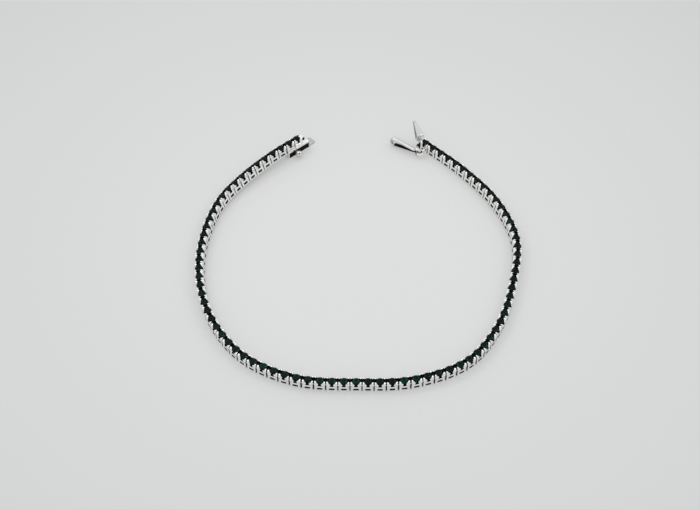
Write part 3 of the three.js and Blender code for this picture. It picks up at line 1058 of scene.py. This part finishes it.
bent_up = (Matrix.Translation((END_BLOCK_END - 0.12, 0, END_BLOCK_HEIGHT - LEAF))
           @ Matrix.Rotation(TONGUE_TURN, 4, "Z") @ Matrix.Rotation(-TONGUE_RISE, 4, "Y"))

# %% [markdown]
# The safety catch swings on a small barrel beside the last setting. The barrel is a turned ring, and a
# short bar holds it to the setting's upper rail.

# %% Barrel
BARREL_REACH = 2.5
BARREL_ALONG = -0.7
BARREL_RADIUS = 0.7
BARREL_BORE = 0.5
BARREL_HEIGHT = 0.6
LUG_BAR = 0.4
EYE_HEIGHT = 2.1
SAFETY_LIFT = 0.1
SAFETY_HEIGHT = SAFETY_LIFT + EYE_HEIGHT / 2


def barrel_ring():
    half, edge = BARREL_HEIGHT / 2, 0.06
    profile = [(BARREL_BORE, edge - half), (BARREL_BORE + edge / 2, -half), (BARREL_RADIUS - edge, -half),
               (BARREL_RADIUS, edge - half), (BARREL_RADIUS, half - edge), (BARREL_RADIUS - edge, half),
               (BARREL_BORE + edge / 2, half), (BARREL_BORE, half - edge)]
    return turned(profile, LATHE_SIDES)


# Painted shade: black in the barrel's bore
def barrel_shade(centre, normal):
    return 1.0 if Vector((centre.x, centre.y, 0)).length < BARREL_BORE + 0.02 else 0.0


def lug_bar():
    outline = rounded_box((BARREL_ALONG - LUG_BAR / 2, RAIL_TOP - LUG_BAR / 2),
                          (BARREL_ALONG + LUG_BAR / 2, RAIL_TOP + LUG_BAR / 2), 0.08)
    return side_plate([outline], HALF_WIDTH - 0.12, BARREL_REACH - BARREL_BORE - 0.06, 0.03)


barrel_place = Matrix.Translation((BARREL_ALONG, BARREL_REACH, SAFETY_HEIGHT))
tongue_piece_mesh = joined("tongue_piece", [
    (end_block(), block_shade),
    (folded_tongue(), tongue_shade, bent_up),
    (thumb_tab(), evenly(0.0), bent_up),
    (barrel_ring(), barrel_shade, barrel_place),
    (lug_bar(), evenly(0.0)),
])
tongue_piece_mesh.transform(links[-1])
tongue_piece_mesh.materials.append(silver)
new_piece("tongue_piece", tongue_piece_mesh, "silver", "clasp_tongue")
print("tongue piece:", len(tongue_piece_mesh.polygons), "faces")

# %% [markdown]
# The catch itself is a wire bent into an eight on edge: a short loop through the barrel, a waist, and a
# long eye that snaps over the ball. A second tree sweeps a circle along the wire's path and rounds its
# bends. The wire is then widened sideways, most of all in the eye, which is hammered broader so that it
# springs only up and down.

# %% Path of the safety wire
WIRE = 0.5
WIRE_BEND = 0.3
WIRE_SIDES = 14
REAR_DEPTH = 0.7
EYE_DEPTH = 1.0
REAR_HEIGHT = 1.8
WAIST_PLACE = 1.35
WAIST_TAPER = 0.5
EYE_ROUND_FROM = 108
EYE_SHADE_FROM = 0.5
EYE_REACH = END_BLOCK_END - BARREL_ALONG + BALL_ALONG - BOX_MOUTH
SAFETY_TURN = math.radians(13)


def wire_path():
    half = REAR_HEIGHT / 2 - WIRE / 2
    radius = EYE_HEIGHT / 2 - WIRE / 2
    bend = WAIST_PLACE - WAIST_TAPER
    eye = arc((EYE_REACH, 0), radius, -EYE_ROUND_FROM, EYE_ROUND_FROM, 14)
    return [(0, -half), (bend, -half), (WAIST_PLACE, -WIRE / 2), *eye, (WAIST_PLACE, WIRE / 2), (bend, half),
            (0, half)]


def make_wire_tree():
    tree, given = new_tree("wire_on_path", Wire="Float", Bend="Float", Sides="Int", Finish="Material")
    path = add_node(tree, "GeometryNodeMeshToCurve", None, {"Mesh": given["Geometry"]}).outputs[0]
    bent = add_node(tree, "GeometryNodeFilletCurve", None,
                    {"Curve": path, "Radius": given["Bend"], "Limit Radius": True})
    if "Mode" in bent.inputs:
        bent.inputs["Mode"].default_value = "Poly"
    else:
        bent.mode = "POLY"
    bent.inputs["Count"].default_value = 4
    section = add_node(tree, "GeometryNodeCurvePrimitiveCircle", None,
                       {"Resolution": given["Sides"], "Radius": given["Wire"]})
    swept = add_node(tree, "GeometryNodeCurveToMesh", None,
                     {"Curve": bent.outputs[0], "Profile Curve": section.outputs[0]})
    return end_tree(tree, swept.outputs[0], given["Finish"])


# %% Safety catch
def safety_wire():
    points = wire_path()
    mesh = bpy.data.meshes.new("wire_path")
    mesh.from_pydata([(x * MILLIMETRE, 0, z * MILLIMETRE) for x, z in points],
                     [(i, (i + 1) % len(points)) for i in range(len(points))], [])
    return run_tree("safety_wire", mesh, make_wire_tree(), Wire=WIRE / 2 * MILLIMETRE,
                    Bend=WIRE_BEND * MILLIMETRE, Sides=WIRE_SIDES, Finish=silver)


def hammer(mesh):
    """Widens the wire sideways, from its depth in the barrel to its depth in the eye."""
    for vertex in mesh.vertices:
        t = min(max(vertex.co.x / MILLIMETRE - WAIST_PLACE + WAIST_TAPER, 0), 1)
        t = t * t * (3 - 2 * t)
        vertex.co.y *= (REAR_DEPTH + (EYE_DEPTH - REAR_DEPTH) * t) / WIRE


def paint_eye_shade(mesh):
    """Paints black shade on the faces of the wire that look into the eye, and a light grey shade on the
    rest.
    """
    marks = mesh.attributes.new("painted_shade", "FLOAT", "FACE")
    for face in mesh.polygons:
        centre, normal = face.center, face.normal
        inside = EYE_SHADE_FROM < centre.x / MILLIMETRE < EYE_REACH and looks_inward(centre, normal, 2) > 0.7
        marks.data[face.index].value = 1.0 if inside else 0.22


safety_mesh = safety_wire()
hammer(safety_mesh)
paint_eye_shade(safety_mesh)
safety_mesh.polygons.foreach_set("use_smooth", [True] * len(safety_mesh.polygons))
to_millimetres = Matrix.Scale(1 / MILLIMETRE, 4)
safety_mesh.transform(links[-1] @ barrel_place @ Matrix.Rotation(SAFETY_TURN, 4, "Z") @ to_millimetres)
new_piece("safety_wire", safety_mesh, "silver", "safety_catch", body="catch")
print("safety wire:", len(safety_mesh.polygons), "faces")

# %% [markdown]
# The table is a plain pale sheet, almost white, with a painted glow of its own as if lit from below, so
# that it takes only faint contact shadows. The painted glow fades slowly away from the middle.

# %% Table
GLOW_MIDDLE = 0.3
GLOW_FADE = 1.0
GLOW_FADE_START = 0.02
TABLE_HALF = 1.5


def make_table():
    finish = Finish("pale_table_painted_glow")
    paper = finish.grain(0.9, 4.0)
    place = finish.node("ShaderNodeTexCoord", output=3)
    distance = finish.node("ShaderNodeVectorMath", {"operation": "LENGTH"}, {0: place}, 1)
    # Painted light: the table glows, most in the middle, fading outward
    glow = GLOW_MIDDLE - finish.clamp((distance - GLOW_FADE_START) * GLOW_FADE)
    material = finish.finish(
        Base_Color=finish.mix(paper, (0.435, 0.445, 0.44, 1), (0.45, 0.455, 0.45, 1)),
        Roughness=0.75,
        Specular_IOR_Level=0.1,
        Emission_Color=finish.mix(glow, (0, 0, 0, 1), (1, 1, 0.995, 1)),
        Emission_Strength=1.0,
    )
    mesh = bpy.data.meshes.new("table")
    mesh.from_pydata([(x * TABLE_HALF, y * TABLE_HALF, 0) for x, y in ((-1, -1), (1, -1), (1, 1), (-1, 1))],
                     [], [(0, 1, 2, 3)])
    mesh.materials.append(material)
    placed("table", mesh)


make_table()

# %% [markdown]
# Silver shows what stands round it more than it shows itself. A bright even room makes it white, and a
# greyer band low down gives its edges their shape. One wide weak lamp gives the soft shadows, and three
# small bright ones put a glint on every bead.

# %% Light
def make_room():
    world = bpy.data.worlds.new("studio")
    bpy.context.scene.world = world
    world.use_nodes = True
    nodes, wires = world.node_tree.nodes, world.node_tree.links
    background = nodes["Background"]
    place = nodes.new("ShaderNodeTexCoord")
    split = nodes.new("ShaderNodeSeparateXYZ")
    ramp = nodes.new("ShaderNodeValToRGB")
    stops = ramp.color_ramp.elements
    stops[0].position, stops[0].color = 0.0, (0.4, 0.41, 0.41, 1)
    stops[1].position, stops[1].color = 0.5, (0.97, 0.98, 0.98, 1)
    wires.new(place.outputs["Generated"], split.inputs[0])
    wires.new(split.outputs["Z"], ramp.inputs[0])
    wires.new(ramp.outputs[0], background.inputs["Color"])
    background.inputs["Strength"].default_value = 0.86


def add_lamp(name, place, size, power):
    """A square lamp that looks at the middle of the bracelet."""
    light = bpy.data.lights.new(name, "AREA")
    light.shape = "SQUARE"
    light.size = size
    light.energy = power
    lamp = placed(name, light)
    lamp.location = place
    lamp.rotation_euler = (-Vector(place)).to_track_quat("-Z", "Y").to_euler()


make_room()
add_lamp("wide_lamp", place=(-0.12, 0.16, 0.42), size=0.34, power=0.2)
add_lamp("left_glint", place=(-0.25, 0.1, 0.32), size=0.07, power=0.1)
add_lamp("right_glint", place=(0.28, 0.02, 0.3), size=0.07, power=0.09)
add_lamp("back_glint", place=(0.02, 0.38, 0.22), size=0.09, power=0.03)

# %% [markdown]
# The camera stands where the photograph was taken from: in front of the bracelet, looking down at it at
# nearly 49 degrees. The lens is given as a focal length on a 36 mm wide sensor.

# %% Camera
CAMERA_PLACE = Vector((-0.0017122, -0.1646232, 0.185886))
CAMERA_ELEVATION = math.radians(48.539)
LENS = 66.857


def make_camera():
    data = bpy.data.cameras.new("camera")
    data.lens = LENS
    data.sensor_width = 36
    data.clip_start = 0.01
    camera = placed("camera", data)
    camera.location = CAMERA_PLACE
    camera.rotation_euler = (math.pi / 2 - CAMERA_ELEVATION, 0, 0)
    bpy.context.scene.camera = camera
    bpy.context.scene.view_settings.view_transform = "Standard"


make_camera()
